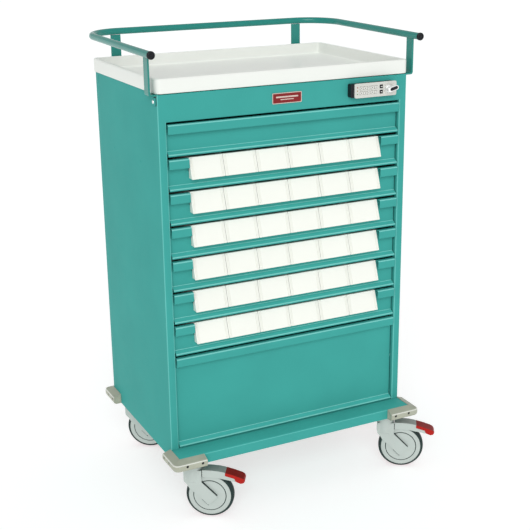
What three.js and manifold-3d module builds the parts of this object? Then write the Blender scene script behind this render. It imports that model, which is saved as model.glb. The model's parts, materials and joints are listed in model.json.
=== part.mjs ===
// Medication cart: a sheet-metal cabinet on four swivel casters, with eight drawers, six of them
// holding rows of small white bins, a moulded work tray inside a tubular guard rail, corner bumpers
// and a keypad drawer lock.
// Millimetres. +Z up, the front faces -Y. The floor is Z = 0.

import * as THREE from 'three';
import * as BufferGeometryUtils from 'three/addons/utils/BufferGeometryUtils.js';
import Module from 'manifold-3d';

const wasm = await Module();
wasm.setup();

// ---------------------------------------------------------------- driving dimensions

const GAP = 0.3;                  // clearance where two pieces meet
const SHEET = 1.5;                // cabinet sheet thickness
const CLEAR = 20;                 // how far a cutting tool reaches past what it cuts

const CABINET_WIDTH = 619;
const CABINET_DEPTH = 407;
const HALF_W = CABINET_WIDTH / 2;
const FRONT = -CABINET_DEPTH / 2;
const BACK = CABINET_DEPTH / 2;

const LEDGE_Z = 169;              // top of the base, where the drawer opening starts
const SMALL_DRAWER = 76.2;        // height of one 3 inch drawer module
const SMALL_DRAWERS = 7;
const LARGE_DRAWER = 3 * SMALL_DRAWER;
const OPENING_TOP = LEDGE_Z + LARGE_DRAWER + SMALL_DRAWERS * SMALL_DRAWER;
const FASCIA_HEIGHT = 61;
const CABINET_TOP = OPENING_TOP + FASCIA_HEIGHT;
const STILE = 18.5;               // face width of the front stiles
const STILE_RETURN = 12;          // depth of the fold behind each stile
const OPENING_HALF = HALF_W - STILE;
const REAR_WRAP = 25;             // how far the back panel wraps onto each side

const BASE_HEIGHT = 25;
const BASE_Z = LEDGE_Z - BASE_HEIGHT;
const BASE_FRONT = FRONT - 48.5;  // the base stands proud of the drawers
const PAD_HALF = 38;              // caster mounting pad under the base
const PAD_THICK = 4;
const PAD_INSET = 4;

// ---------------------------------------------------------------- colours

const finish = (color, roughness, metalness = 0) =>
  new THREE.MeshStandardMaterial({ color, roughness, metalness });
const TEAL = finish(0x3fa69f, 0.5);
const WHITE = finish(0xf2f2ec, 0.4);
const BUMPER = finish(0xb2af9e, 0.6);
const CASTER_GREY = finish(0xc8d2cc, 0.45);
const RED = finish(0xb41e1a, 0.4);
const STEEL = finish(0xb9bcbe, 0.35, 0.9);
const SILVER = finish(0xc9c9c4, 0.3, 0.4);
const BLACK = finish(0x16181a, 0.5);

// ---------------------------------------------------------------- solids

// A closed mesh as a solid that can be joined and cut.
function solid(geometry) {
  geometry.deleteAttribute('normal');
  geometry.deleteAttribute('uv');
  const merged = BufferGeometryUtils.mergeVertices(geometry, 1e-4);
  const vertProperties = Float32Array.from(merged.attributes.position.array);
  const triVerts = Uint32Array.from(merged.index.array);
  return new wasm.Manifold(new wasm.Mesh({ numProp: 3, vertProperties, triVerts }));
}

function union(parts) {
  return parts.reduce((whole, part) => whole.add(part));
}

function cut(whole, tools) {
  return tools.reduce((rest, tool) => rest.subtract(tool), whole);
}

// Every vertex moved to the place that a function gives it, so that faces meant to be flush are.
function placed(geometry, place) {
  const position = geometry.attributes.position;
  for (let i = 0; i < position.count; i += 1) {
    position.setXYZ(i, ...place(position.getX(i), position.getY(i), position.getZ(i)));
  }
  return solid(geometry);
}

function block(x0, x1, y0, y1, z0, z1) {
  return placed(new THREE.BoxGeometry(1, 1, 1),
    (x, y, z) => [x < 0 ? x0 : x1, y < 0 ? y0 : y1, z < 0 ? z0 : z1]);
}

// A closed counter-clockwise outline, one unit deep, with its points laid out by the place function.
function extrude(outline, place) {
  const shape = new THREE.Shape(outline.map(([u, v]) => new THREE.Vector2(u, v)));
  return placed(new THREE.ExtrudeGeometry(shape, { depth: 1, bevelEnabled: false }), place);
}

// Outline in (y, z), from x0 to x1.
const alongX = (outline, x0, x1) => extrude(outline, (u, v, w) => [w < 0.5 ? x0 : x1, u, v]);
// Outline in (x, z), from y0 to y1.
const alongY = (outline, y0, y1) => extrude(outline, (u, v, w) => [u, w < 0.5 ? y1 : y0, v]);
// Outline in (x, y), from z0 to z1.
const alongZ = (outline, z0, z1) => extrude(outline, (u, v, w) => [u, v, w < 0.5 ? z0 : z1]);

// A round bar between two heights, or along Y when asked.
function rod(radius, from, to, segments = 24, along = 'z') {
  const length = to - from;
  const geometry = new THREE.CylinderGeometry(radius, radius, length, segments);
  if (along === 'z') geometry.rotateX(Math.PI / 2).translate(0, 0, from + length / 2);
  else geometry.translate(0, from + length / 2, 0);
  return solid(geometry);
}

// A folded strip of sheet: a line of bends, thickened to its left by the sheet's thickness.
function foldedSheet(bends, thickness = SHEET) {
  const count = bends.length;
  const normals = [];
  for (let i = 0; i + 1 < count; i += 1) {
    const du = bends[i + 1][0] - bends[i][0];
    const dv = bends[i + 1][1] - bends[i][1];
    const length = Math.hypot(du, dv);
    normals.push([-dv / length, du / length]);
  }
  const inner = bends.map(([u, v], i) => {
    const before = normals[Math.max(i - 1, 0)];
    const after = normals[Math.min(i, count - 2)];
    const scale = thickness / (1 + before[0] * after[0] + before[1] * after[1]);
    return [u + (before[0] + after[0]) * scale, v + (before[1] + after[1]) * scale];
  });
  return [...bends, ...inner.reverse()];
}

// A rectangle with its corners rounded by arcs, counter-clockwise.
function roundedRectangle(u0, u1, v0, v1, radius, steps = 4) {
  const corners = [[u1 - radius, v0 + radius, -90], [u1 - radius, v1 - radius, 0],
    [u0 + radius, v1 - radius, 90], [u0 + radius, v0 + radius, 180]];
  return corners.flatMap(([u, v, start]) => Array.from({ length: steps + 1 }, (_, i) => {
    const angle = THREE.MathUtils.degToRad(start + (90 * i) / steps);
    return [u + radius * Math.cos(angle), v + radius * Math.sin(angle)];
  }));
}

const mirrorX = (shape) => shape.mirror([1, 0, 0]);

// ---------------------------------------------------------------- the scene graph

const cart = new THREE.Group();

function add(name, shape, material, parent = cart) {
  const { numProp, vertProperties, triVerts } = shape.getMesh();
  const positions = new Float32Array((vertProperties.length / numProp) * 3);
  for (let i = 0; i < positions.length / 3; i += 1) {
    for (let k = 0; k < 3; k += 1) positions[3 * i + k] = vertProperties[numProp * i + k];
  }
  const geometry = new THREE.BufferGeometry();
  geometry.setAttribute('position', new THREE.BufferAttribute(positions, 3));
  geometry.setIndex(new THREE.BufferAttribute(triVerts, 1));
  const mesh = new THREE.Mesh(geometry, material);
  mesh.name = name;
  parent.add(mesh);
}

// ---------------------------------------------------------------- cabinet

// Side wall with the front stile and its return folded on up to the fascia, and a skirt beside
// the base.
function sidePanel() {
  const seam = BACK - REAR_WRAP - GAP;
  const folds = foldedSheet([[-HALF_W, seam], [-HALF_W, FRONT], [-OPENING_HALF, FRONT],
    [-OPENING_HALF, FRONT + STILE_RETURN]]);
  const wall = (bottom, top) => block(-HALF_W, -HALF_W + SHEET, FRONT, seam, bottom, top);
  return union([
    alongZ(folds, LEDGE_Z + GAP, OPENING_TOP - GAP),
    wall(BASE_Z, LEDGE_Z + GAP + SHEET),
    wall(OPENING_TOP - GAP - SHEET, CABINET_TOP),
  ]);
}

function backPanel() {
  const wrap = BACK - REAR_WRAP;
  const folds = foldedSheet([[HALF_W, wrap], [HALF_W, BACK], [-HALF_W, BACK], [-HALF_W, wrap]]);
  return alongZ(folds, BASE_Z, CABINET_TOP);
}

function topPanel() {
  const half = HALF_W - SHEET - GAP;
  const front = FRONT + STILE_RETURN + GAP;
  return block(-half, half, front, BACK - SHEET - GAP, CABINET_TOP - SHEET, CABINET_TOP);
}

// Plan of the base: full width in front of the side walls, and between them behind.
function basePlan(inset) {
  const wide = HALF_W - inset;
  const narrow = HALF_W - SHEET - GAP - inset;
  const front = BASE_FRONT + inset;
  const step = FRONT - GAP - inset;
  const rear = BACK - SHEET - GAP - inset;
  return [[-wide, front], [wide, front], [wide, step], [narrow, step],
    [narrow, rear], [-narrow, rear], [-narrow, step], [-wide, step]];
}

// Base: a pan with its skirts down and a pad over each caster.
function baseFrame() {
  const plate = LEDGE_Z - SHEET;
  const hollow = alongZ(basePlan(SHEET), BASE_Z - 1, plate);
  const pads = [];
  for (const side of [-1, 1]) {
    for (const stemY of [STEM_FRONT_Y, STEM_REAR_Y]) {
      const padX = [side * (STEM_X + PAD_HALF), side * (STEM_X - PAD_HALF)].sort((a, b) => a - b);
      const padY = [Math.max(stemY - PAD_HALF, BASE_FRONT + PAD_INSET),
        Math.min(stemY + PAD_HALF, BACK - PAD_INSET - SHEET)];
      pads.push(block(...padX, ...padY, plate - PAD_THICK, plate + SHEET / 2));
    }
  }
  return union([cut(alongZ(basePlan(0), BASE_Z, LEDGE_Z), [hollow]), ...pads]);
}

// ---------------------------------------------------------------- lock placing, shared with fascia

const LOCK_X0 = 151;
const LOCK_X1 = 268;
const LOCK_Z = 964;               // centre height of the lock
const LOCK_HALF_H = 15.5;
const LOCK_FACE_Y = FRONT - 14.5; // front of the black housing
const FACE_THICK = 4;
const KNOB_X = 246;
const SPINDLE = 4;
const CRANK = 8;                  // crank radius, and so the locking bar's travel
const CRANK_Y = FRONT + SHEET + 7;
const BAR_Y = CRANK_Y + 3.5;
const BAR_THICK = 3;

const SPINDLE_SLACK = 0.5;
const spindleHole = () => rod(SPINDLE + SPINDLE_SLACK, LOCK_FACE_Y - CLEAR, FRONT + CLEAR, 16, 'y')
  .translate([KNOB_X, 0, LOCK_Z]);

const FASCIA_FLANGE = 10;

// Fascia: the full width between the side walls, with a flange turned back above and below.
function frontFascia() {
  const half = HALF_W - SHEET - GAP;
  const upper = CABINET_TOP - SHEET - GAP;
  const flange = FRONT + FASCIA_FLANGE;
  const folds = foldedSheet([[flange, upper], [FRONT, upper], [FRONT, OPENING_TOP],
    [flange, OPENING_TOP]]);
  return cut(alongX(folds, -half, half), [spindleHole()]);
}

// ---------------------------------------------------------------- work tray and guard rail

const TRAY_HALF = HALF_W + 3.5;
const TRAY_FRONT = FRONT - 2;
const TRAY_BACK = BACK + 10.5;
const TRAY_Z = CABINET_TOP + GAP;
const TRAY_HEIGHT = 31.7;
const TRAY_RIM = 9;
const TRAY_FLOOR = 3.7;

function workTray() {
  const outer = roundedRectangle(-TRAY_HALF, TRAY_HALF, TRAY_FRONT, TRAY_BACK, 14);
  const inner = roundedRectangle(-TRAY_HALF + TRAY_RIM, TRAY_HALF - TRAY_RIM,
    TRAY_FRONT + TRAY_RIM, TRAY_BACK - TRAY_RIM, 18);
  const top = TRAY_Z + TRAY_HEIGHT;
  return cut(alongZ(outer, TRAY_Z, top), [alongZ(inner, TRAY_Z + TRAY_FLOOR, top + 1)]);
}

const RAIL_R = 7.8;
const RAIL_X = 328;
const RAIL_BACK = 229;
const RAIL_FRONT = -230;
const RAIL_Z = CABINET_TOP + 84.6; // centre height at the front ends
const RAIL_RISE = 4.6;            // how much higher the back run is
const RAIL_BEND = 90;
const BEND_STEPS = 7;
const PLUG_R = 8.9;               // end plugs, a little wider than the tube
const PLUG_LENGTH = 5;

// The rail's centre line: an arm, a bend, the back run, a bend and an arm, with one step for
// each straight and BEND_STEPS for each bend.
class RailLine extends THREE.Curve {
  getUtoTmapping(u) {
    return u;
  }

  getPoint(t, target = new THREE.Vector3()) {
    const place = t * RAIL_STEPS;
    const inner = RAIL_X - RAIL_BEND;
    const arc = RAIL_BACK - RAIL_BEND;
    const side = place < RAIL_STEPS / 2 ? -1 : 1;
    const along = Math.min(place, RAIL_STEPS - place);
    if (along <= 1) return target.set(side * RAIL_X, RAIL_FRONT + (arc - RAIL_FRONT) * along, 0);
    if (along <= 1 + BEND_STEPS) {
      const angle = ((along - 1) / BEND_STEPS) * (Math.PI / 2);
      return target.set(side * (inner + RAIL_BEND * Math.cos(angle)),
        arc + RAIL_BEND * Math.sin(angle), 0);
    }
    return target.set(side * inner * (1 - (along - 1 - BEND_STEPS) * 2), RAIL_BACK, 0);
  }
}
const RAIL_STEPS = 2 * (1 + BEND_STEPS) + 1;

function guardRail() {
  const section = new THREE.Shape(Array.from({ length: 12 }, (_, i) => {
    const angle = (i * Math.PI) / 6;
    return new THREE.Vector2(RAIL_R * Math.cos(angle), RAIL_R * Math.sin(angle));
  }));
  const geometry = new THREE.ExtrudeGeometry(section,
    { steps: RAIL_STEPS, extrudePath: new RailLine(), bevelEnabled: false });
  const slope = RAIL_RISE / (RAIL_BACK - RAIL_FRONT);
  const shear = new THREE.Matrix4().makeShear(0, 0, 0, slope, 0, 0);
  const tube = solid(geometry.translate(0, -RAIL_FRONT, 0).applyMatrix4(shear));
  const plugs = [-1, 1].map((side) => rod(PLUG_R, 0, PLUG_LENGTH, 20, 'y')
    .translate([side * RAIL_X, 0, 0]));
  return union([tube, ...plugs]).translate([0, RAIL_FRONT, RAIL_Z]);
}

const POST_W = 25;
const POST_T = 4;
const SIDE_POST_TOP = RAIL_Z - RAIL_R - GAP;
const REAR_POST_TOP = SIDE_POST_TOP + RAIL_RISE;
const SIDE_POST_X = 327.5;        // outer face
const SIDE_POST_Y = -190;
const REAR_POST_X = 246.5;
const REAR_POST_DROP = 52;

// Flat bar beside the tray, with a foot turned in to the top edge of the cabinet's side.
function sidePost() {
  const foot = CABINET_TOP - POST_T;
  const folds = foldedSheet([[HALF_W + GAP, foot], [SIDE_POST_X, foot],
    [SIDE_POST_X, SIDE_POST_TOP]], POST_T);
  return alongY(folds, SIDE_POST_Y - POST_W / 2, SIDE_POST_Y + POST_W / 2);
}

// Flat bar behind the tray, standing off the back panel on a spacer block.
function rearPost() {
  const x0 = REAR_POST_X - POST_W / 2;
  const x1 = REAR_POST_X + POST_W / 2;
  const bottom = CABINET_TOP - REAR_POST_DROP;
  return union([
    block(x0, x1, RAIL_BACK - POST_T, RAIL_BACK, bottom, REAR_POST_TOP),
    block(x0, x1, BACK + GAP, RAIL_BACK, bottom, bottom + POST_W),
  ]);
}

// ---------------------------------------------------------------- corner bumpers

const BUMPER_T = 20.5;
const BUMPER_LEG_X = 61;
const BUMPER_LEG_Y = 56;
// The section's nose, from underneath to the top: distance short of the full thickness, height.
const BUMPER_SECTION = [[-7, 0], [-2, 2.5], [0, 6.5], [0, 17], [-2.5, 19]];

// Moulding with a sloping top and a flat face, bent round a corner of the base.
function cornerBumper(cornerX, cornerY, inwardX, inwardY) {
  const section = [[GAP, BASE_Z],
    ...BUMPER_SECTION.map(([out, up]) => [BUMPER_T + out, BASE_Z + up]),
    [GAP, LEDGE_Z]];
  const turned = [[0, BASE_Z], ...section, [0, LEDGE_Z]].map(([r, z]) => new THREE.Vector2(r, z));
  const corner = solid(new THREE.LatheGeometry(turned, 24).rotateX(Math.PI / 2));
  const legs = union([
    alongX(section.map(([r, z]) => [-r, z]).reverse(), 0, BUMPER_LEG_X),
    alongY(section.map(([r, z]) => [-r, z]).reverse(), 0, BUMPER_LEG_Y),
  ]);
  const keepOut = block(-GAP, BUMPER_LEG_X + 1, -GAP, BUMPER_LEG_Y + 1, BASE_Z - 1, LEDGE_Z + 1);
  let bumper = cut(union([corner, legs]), [keepOut]);
  if (inwardX < 0) bumper = bumper.mirror([1, 0, 0]);
  if (inwardY < 0) bumper = bumper.mirror([0, 1, 0]);
  return bumper.translate([cornerX, cornerY, 0]);
}

// ---------------------------------------------------------------- drawers

const DRAWER_HALF = OPENING_HALF - 2.3;
const LIP_PROUD = 3;              // the pull lip stands this far in front of the stiles
const LIP_HEIGHT = 21.5;
const PANEL_SETBACK = 10;         // the flat of the drawer front sits this far behind them
const FLARE = 10.4;               // height of the flare along the bottom of a drawer front
const TOP_GAP = 5;
const BOTTOM_GAP = 1.4;
const BOX_HALF = 278;             // outside of the drawer box
const BOX_BACK = 172;
const BOX_SHEET = 1.2;
const DRAWER_FLOOR = BOTTOM_GAP + SHEET + BOX_SHEET;
const RUNNER_HALF_H = 5.5;
const RUNNER_OUT = 288.7;
const RUNNER_SETBACK = 22;        // the runners start behind the stile's return
const SMALL_RUNNER_UP = 30;       // height of the runner above its module's bottom
const LARGE_RUNNER_UP = 96;
const SMALL_WALL_UP = 58;         // height of the box walls above its module's bottom
const LARGE_WALL_UP = 190;
const LIP_RETURN = 8;             // depth of the fold under the pull lip
const FOOT_SETBACK = 1;           // the flared foot sits this far behind the stiles' face
const FOOT_HEIGHT = 2.5;          // upright edge of the flared foot
const NOTCH_HALF = 242;           // opening in the lip for the bins

// Pull lip, set-back flat and flared foot, folded from one sheet.
function drawerFront(bottom, top) {
  const lipY = FRONT - LIP_PROUD;
  const panelY = FRONT + PANEL_SETBACK + SHEET;
  const footY = FRONT + FOOT_SETBACK;
  const upper = top - TOP_GAP;
  const lower = bottom + BOTTOM_GAP + SHEET;
  const folds = foldedSheet([[panelY, lower], [footY, lower], [footY, lower + FOOT_HEIGHT],
    [panelY, lower + FLARE - SHEET], [panelY, upper], [lipY, upper], [lipY, upper - LIP_HEIGHT],
    [lipY + LIP_RETURN, upper - LIP_HEIGHT]]);
  return alongX(folds, -DRAWER_HALF, DRAWER_HALF);
}

// Folded front on an open box, with a slide runner along each side.
function drawer(bottom, top, runnerZ, wallTop, holdsBins) {
  const boxFront = FRONT + PANEL_SETBACK + SHEET / 2;
  const floor = bottom + DRAWER_FLOOR;
  let front = drawerFront(bottom, top);
  if (holdsBins) {
    const notch = block(-NOTCH_HALF, NOTCH_HALF, FRONT - CLEAR, FRONT + CLEAR, top - BIN_REST, top);
    front = cut(front, [notch]);
  }
  const box = [
    block(-BOX_HALF, BOX_HALF, boxFront, BOX_BACK, floor - BOX_SHEET, floor),
    block(-BOX_HALF, BOX_HALF, BOX_BACK - BOX_SHEET, BOX_BACK, floor - BOX_SHEET, wallTop),
  ];
  for (const side of [-1, 1]) {
    const wall = [side * BOX_HALF, side * (BOX_HALF - BOX_SHEET)].sort((a, b) => a - b);
    const runner = [side * RUNNER_OUT, side * (BOX_HALF - BOX_SHEET / 2)].sort((a, b) => a - b);
    box.push(block(...wall, boxFront, BOX_BACK, floor - BOX_SHEET, wallTop));
    box.push(block(...runner, FRONT + RUNNER_SETBACK, BOX_BACK,
      runnerZ - RUNNER_HALF_H, runnerZ + RUNNER_HALF_H));
  }
  return union([front, ...box]);
}

// ---------------------------------------------------------------- bins

const BIN_PITCH = 80;
const BINS = 6;
const BIN_WALL = 1.5;
const BIN_BACK = 166;
const BIN_REST = 34;              // below the module top: the cut edge the bin fronts hang over
const BIN_FACE = 46;              // height of the sloping label face
const BIN_TOP_SETBACK = 8;
const BIN_BOTTOM_PROUD = 8;
const BIN_SLACK = 0.6;            // clearance between the hanging fronts and the drawer front

// A row of open bins with hollows, whose sloping fronts hang over the drawer's cut-down front.
function binRow(bottom, top) {
  const half = (BINS * BIN_PITCH) / 2;
  const upper = top - TOP_GAP;
  const floor = bottom + DRAWER_FLOOR + GAP;
  const panelY = FRONT + PANEL_SETBACK;
  const hookY = panelY - BIN_SLACK;
  const hookZ = top - BIN_REST + BIN_SLACK;
  const insideY = panelY + SHEET + 1;
  const outline = [[FRONT - BIN_BOTTOM_PROUD, upper - BIN_FACE], [hookY, upper - BIN_FACE],
    [hookY, hookZ], [insideY, hookZ],
    [insideY, floor], [BIN_BACK, floor], [BIN_BACK, upper], [FRONT + BIN_TOP_SETBACK, upper]];
  const hollows = Array.from({ length: BINS }, (_, i) => {
    const x0 = -half + i * BIN_PITCH + BIN_WALL;
    return block(x0, x0 + BIN_PITCH - 2 * BIN_WALL, insideY + BIN_WALL, BIN_BACK - BIN_WALL,
      floor + BIN_WALL, upper + 1);
  });
  return cut(alongX(outline, -half, half), hollows);
}

// ---------------------------------------------------------------- drawer slides and locking bar

const PLATE_FACE = 291.5;         // inner face of the slide plates
const CHANNEL_LIP = 281;          // how far in the channels reach around the runners
const CHANNEL_SLACK = 0.8;
const PLATE_LOW = LEDGE_Z + 6;
const PLATE_HIGH = OPENING_TOP + 8;
const PLATE_FRONT = FRONT + 20;
const PLATE_BACK = BACK - 23;

// One wall-side plate carrying the fixed channel of every slide.
function slidePlate(runnerHeights) {
  const back = PLATE_FACE + SHEET;
  const wall = HALF_W - SHEET - GAP;
  const inner = [];
  for (const z of [...runnerHeights].sort((a, b) => b - a)) {
    for (const edge of [1, -1]) {
      const near = z + edge * (RUNNER_HALF_H + CHANNEL_SLACK);
      const far = near + edge * SHEET;
      const [a, b] = edge > 0 ? [far, near] : [near, far];
      inner.push([PLATE_FACE, a], [CHANNEL_LIP, a], [CHANNEL_LIP, b], [PLATE_FACE, b]);
    }
  }
  const outline = [[wall, PLATE_LOW], [wall, PLATE_LOW + SHEET], [back, PLATE_LOW + SHEET],
    [back, PLATE_HIGH - SHEET], [wall, PLATE_HIGH - SHEET], [wall, PLATE_HIGH],
    [PLATE_FACE, PLATE_HIGH], ...inner, [PLATE_FACE, PLATE_LOW]];
  return alongY(outline, PLATE_FRONT, PLATE_BACK);
}

const BAR_X0 = 294;
const BAR_X1 = 305;
const BAR_BOTTOM = LEDGE_Z + 14;
const FINGER_X = 281;             // inner end of the fingers
const FINGER_UP = 18;             // height of a finger above its runner
const FINGER_HEIGHT = 5;
const ARM_REACH = 10;             // the slotted arm reaches this far past the spindle
const PIN_R = 2;
const SLOT_HALF_H = 4.3;
const SLOT_SLACK = 1.5;

// Upright bar with a finger for every drawer, driven by the lock's crank pin in a slotted arm.
function lockBar(runnerHeights) {
  const y1 = BAR_Y + BAR_THICK;
  const slotEnd = PIN_R + SLOT_SLACK;
  const fingers = runnerHeights.map((z) => block(FINGER_X, BAR_X0 + 1, BAR_Y, y1,
    z + FINGER_UP, z + FINGER_UP + FINGER_HEIGHT));
  const slot = block(KNOB_X - slotEnd, KNOB_X + CRANK + slotEnd, BAR_Y - 1, y1 + 1,
    LOCK_Z - SLOT_HALF_H, LOCK_Z + SLOT_HALF_H);
  return cut(union([
    block(BAR_X0, BAR_X1, BAR_Y, y1, BAR_BOTTOM, LOCK_Z + CRANK),
    block(KNOB_X - ARM_REACH, BAR_X1, BAR_Y, y1, LOCK_Z - CRANK, LOCK_Z + CRANK),
    ...fingers,
  ]), [slot]);
}

// ---------------------------------------------------------------- keypad lock

const KEY_COLUMNS = 5;
const KEY_ROWS = 2;
const KEY_X = 176;
const KEY_PITCH_X = 9.6;
const KEY_PITCH_Z = 11;
const KEY_W = 6.6;
const KEY_H = 6.6;
const KEY_PROUD = 1.2;
const KEY_SLACK = 0.35;
const KEY_TRAVEL = 0.8;
const FUNCTION_X = 229;
const FUNCTION_PITCH = 12;
const FUNCTION_SIZE = 7.6;

// Centre and size of every key, in name order.
function keyPlaces() {
  const places = [];
  for (let row = 0; row < KEY_ROWS; row += 1) {
    for (let column = 0; column < KEY_COLUMNS; column += 1) {
      places.push({ name: `key_${(row * KEY_COLUMNS + column + 1) % 10}`, w: KEY_W, h: KEY_H,
        x: KEY_X + column * KEY_PITCH_X, z: LOCK_Z + (0.5 - row) * KEY_PITCH_Z, material: SILVER });
    }
  }
  ['clear_key', 'enter_key'].forEach((name, i) => places.push({ name, w: FUNCTION_SIZE, h: FUNCTION_SIZE,
    x: FUNCTION_X, z: LOCK_Z + (0.5 - i) * FUNCTION_PITCH, material: BLACK }));
  return places;
}

const plateBack = LOCK_FACE_Y - GAP;
const plateFront = plateBack - FACE_THICK;

function lockKey({ x, z, w, h }) {
  const outline = roundedRectangle(x - w / 2, x + w / 2, z - h / 2, z + h / 2, 1.8, 2);
  return alongY(outline, plateFront - KEY_PROUD, plateBack - KEY_TRAVEL - GAP);
}

function lockHousing() {
  const outline = roundedRectangle(LOCK_X0, LOCK_X1, LOCK_Z - LOCK_HALF_H, LOCK_Z + LOCK_HALF_H, 4);
  return cut(alongY(outline, LOCK_FACE_Y, FRONT - GAP), [spindleHole()]);
}

function lockFace() {
  const outline = roundedRectangle(LOCK_X0 + 8, LOCK_X1 + 2, LOCK_Z - LOCK_HALF_H - 1,
    LOCK_Z + LOCK_HALF_H + 1, 4);
  const wells = keyPlaces().map(({ x, z, w, h }) => block(x - w / 2 - KEY_SLACK, x + w / 2 + KEY_SLACK,
    plateFront - 1, plateBack + 1, z - h / 2 - KEY_SLACK, z + h / 2 + KEY_SLACK));
  return cut(alongY(outline, plateFront, plateBack), [...wells, spindleHole()]);
}

const BOSS_R = 9;
const BOSS_THICK = 6;
const WING_DEPTH = 17;
const WING_TAIL = -6;
const WING_TIP = 24;
const WING_HALF = 5;
const DISC_R = 12;
const DISC_THICK = 3;

// Thumb turn: wing and boss outside, spindle through the fascia, crank disc and pin inside.
function lockKnob() {
  const front = plateFront - GAP;
  const wing = roundedRectangle(WING_TAIL, WING_TIP, -WING_HALF, WING_HALF, WING_HALF - 0.1);
  return union([
    rod(BOSS_R, front - BOSS_THICK, front, 24, 'y'),
    alongY(wing, front - WING_DEPTH, front - BOSS_THICK + 0.5),
    rod(SPINDLE, front - 1, CRANK_Y + 1, 16, 'y'),
    rod(DISC_R, CRANK_Y, CRANK_Y + DISC_THICK, 24, 'y'),
    rod(PIN_R, CRANK_Y + 2, BAR_Y + BAR_THICK + 1, 10, 'y').translate([CRANK, 0, 0]),
  ]).translate([KNOB_X, 0, LOCK_Z]);
}

const BADGE_X0 = -41;
const BADGE_X1 = 32;
const BADGE_Z0 = 949;
const BADGE_Z1 = 973;
const BADGE_PROUD = 2;

function nameBadge() {
  const outline = roundedRectangle(BADGE_X0, BADGE_X1, BADGE_Z0, BADGE_Z1, 2, 2);
  return alongY(outline, FRONT - BADGE_PROUD, FRONT - GAP);
}

// ---------------------------------------------------------------- casters

const STEM_X = 264.4;
const STEM_FRONT_Y = -218.6;
const STEM_REAR_Y = 182;
const TRAIL = 40;
const TRAIL_ANGLE = -32;          // degrees from +X: all four casters trail the same way
const WHEEL_R = 56.5;
const WHEEL_HALF = 12;            // half width of the wheel
const FORK_GAP = 12.6;
const FORK_HALF = 17.3;
const STEM_R = 21;
const STEM_BOTTOM = 93;
const STEM_TOP = BASE_Z - 1;
const NECK_R = 14;                // the stem inside the base
const AXLE_R = 5.7;
const BORE_R = 6;
const WELL_R = WHEEL_R + 2.2;
const HUB_R = 17;                 // rounded end of the fork's cheeks
const FORK_TOP = 125;
const FORK_EDGE = 22;             // front edge of the cheeks beside the stem

// Every caster shape is drawn with the trail along +X, the stem at the origin and the floor at zero.
const wheelWell = (radius, half) => rod(radius, -half, half, 48, 'y').translate([TRAIL, 0, WHEEL_R]);

function casterFork() {
  const hub = Array.from({ length: 9 }, (_, i) => {
    const angle = THREE.MathUtils.degToRad(225 + i * 22.5);
    return [TRAIL + 2 + HUB_R * Math.cos(angle), WHEEL_R - 2 + HUB_R * Math.sin(angle)];
  });
  const yoke = [[-STEM_R + 1, FORK_TOP], [-STEM_R + 1, STEM_BOTTOM], [-8, 77], ...hub,
    [FORK_EDGE, 92], [FORK_EDGE, FORK_TOP]];
  const plates = cut(alongY(yoke, -FORK_HALF, FORK_HALF), [wheelWell(WELL_R, FORK_GAP)]);
  const housing = cut(rod(STEM_R, STEM_BOTTOM, STEM_TOP, 28), [wheelWell(WELL_R, FORK_GAP)]);
  const neck = rod(NECK_R, STEM_TOP - 2, LEDGE_Z - SHEET - PAD_THICK - GAP, 20);
  const axle = rod(AXLE_R, -FORK_HALF + 1, FORK_HALF - 1, 16, 'y').translate([TRAIL, 0, WHEEL_R]);
  return union([plates, housing, neck, axle]);
}

const GROOVE_R = 38.2;            // ring groove in both faces of the wheel
const GROOVE_HALF = 1.2;
const GROOVE_DEPTH = 1.5;
const RIM_R = WHEEL_R - 7;
const TREAD_HALF = 3.5;

// Wheel with its tyre: grooved faces, a crowned tread and a through bore.
function casterWheel() {
  const half = [[WHEEL_R, TREAD_HALF], [WHEEL_R - 2, WHEEL_HALF - TREAD_HALF],
    [RIM_R, WHEEL_HALF - 0.5], [GROOVE_R + GROOVE_HALF, WHEEL_HALF],
    [GROOVE_R, WHEEL_HALF - GROOVE_DEPTH], [GROOVE_R - GROOVE_HALF, WHEEL_HALF],
    [BORE_R, WHEEL_HALF]];
  const otherHalf = half.map(([r, y]) => [r, -y]).reverse();
  const profile = [...otherHalf, ...half, otherHalf[0]];
  const geometry = new THREE.LatheGeometry(profile.map(([r, z]) => new THREE.Vector2(r, z)), 32);
  return solid(geometry).translate([TRAIL, 0, WHEEL_R]);
}

const PEDAL_HALF = 15.2;

// Brake pedal: a channel over the tyre with a foot pad at its end.
function brakePedal() {
  const outline = [[23.5, 105], [59, 103.5], [86, 98.5], [101, 95], [103, 92.5], [115, 90.5],
    [121, 95.5], [122, 103], [116, 107], [98, 112.5], [79, 118.5], [60, 121.5], [40, 122.5], [23.5, 122.5]];
  const channel = [[20, 90], [58, 90], [92, 84], [92, 101], [76, 110.5], [62, 114], [62, 117], [20, 117]];
  return cut(alongY(outline, -PEDAL_HALF, PEDAL_HALF),
    [wheelWell(WELL_R, FORK_GAP), alongY(channel, -FORK_GAP, FORK_GAP)]);
}

// ---------------------------------------------------------------- assembly

add('left_side_panel', sidePanel(), TEAL);
add('right_side_panel', mirrorX(sidePanel()), TEAL);
add('back_panel', backPanel(), TEAL);
add('top_panel', topPanel(), TEAL);
add('front_fascia', frontFascia(), TEAL);
add('base_frame', baseFrame(), TEAL);
add('work_tray', workTray(), WHITE);
add('guard_rail', guardRail(), TEAL);
add('right_rail_post', sidePost(), TEAL);
add('left_rail_post', mirrorX(sidePost()), TEAL);
add('rear_right_rail_post', rearPost(), TEAL);
add('rear_left_rail_post', mirrorX(rearPost()), TEAL);

add('front_left_bumper', cornerBumper(-HALF_W, BASE_FRONT, 1, 1), BUMPER);
add('front_right_bumper', cornerBumper(HALF_W, BASE_FRONT, -1, 1), BUMPER);
add('rear_left_bumper', cornerBumper(-HALF_W, BACK, 1, -1), BUMPER);
add('rear_right_bumper', cornerBumper(HALF_W, BACK, -1, -1), BUMPER);

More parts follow.
